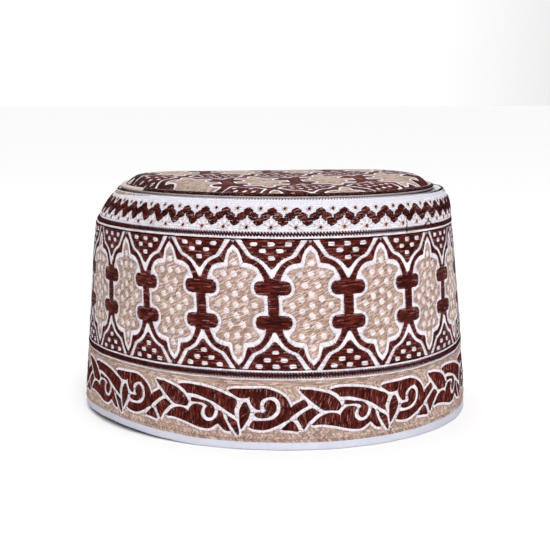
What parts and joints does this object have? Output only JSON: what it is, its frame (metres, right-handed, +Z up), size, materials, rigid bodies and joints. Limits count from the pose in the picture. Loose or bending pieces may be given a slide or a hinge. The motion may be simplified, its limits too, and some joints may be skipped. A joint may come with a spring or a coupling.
{
  "type": "embroidered brimless cotton cap",
  "caption": "Brimless cotton cap with a flat oval top, a leaning shoulder band, a tall embroidered side wall and a bound hem.",
  "frame": {"origin": "centre of the cap's footprint, on the surface that it stands on", "axes": "+Z up through the top, +Y from the front to the back along the oval's long axis, +X to the side with the squarer shoulder"},
  "size_m": [0.1838, 0.2054, 0.1113],
  "materials": {
    "brown_embroidery": "dark red-brown satin stitch in cotton thread",
    "tan_embroidery": "light tan cotton thread, slightly glossy along the strands",
    "white_cotton": "white cotton cloth and thread, matt"
  },
  "bodies": {
    "root": {"crown_disc": "brown_embroidery", "crown_welt": "tan_embroidery", "shoulder_band": "white_cotton", "side_wall": "brown_embroidery", "hem_binding": "white_cotton"}
  },
  "joints": []
}
